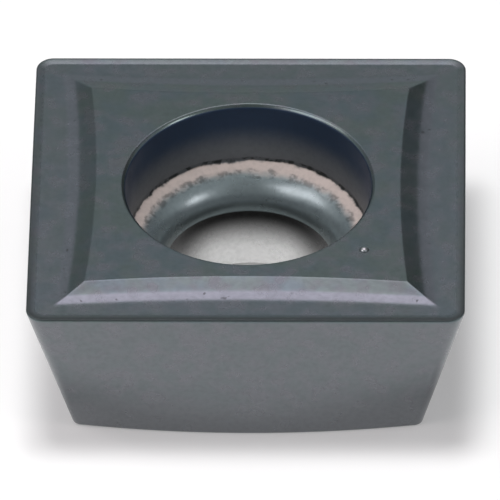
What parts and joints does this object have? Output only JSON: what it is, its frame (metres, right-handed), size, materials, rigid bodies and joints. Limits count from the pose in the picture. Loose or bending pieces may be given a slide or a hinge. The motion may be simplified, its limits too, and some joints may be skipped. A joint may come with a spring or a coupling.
{
  "type": "indexable carbide cutting insert",
  "caption": "Rectangular positive cutting insert with a recessed screw hole, a raised chip-breaking island, tapered flanks and a small index dot.",
  "frame": {"origin": "on the screw hole's axis at the flat seating face", "axes": "+Z along the screw hole towards the rake side, +X across the longer side of the cutting outline; the index dot is at +X, -Y"},
  "size_m": [0.0096, 0.009, 0.0039],
  "materials": {
    "coated_carbide": "satin"
  },
  "bodies": {
    "root": {"insert_body": "coated_carbide"}
  },
  "joints": []
}
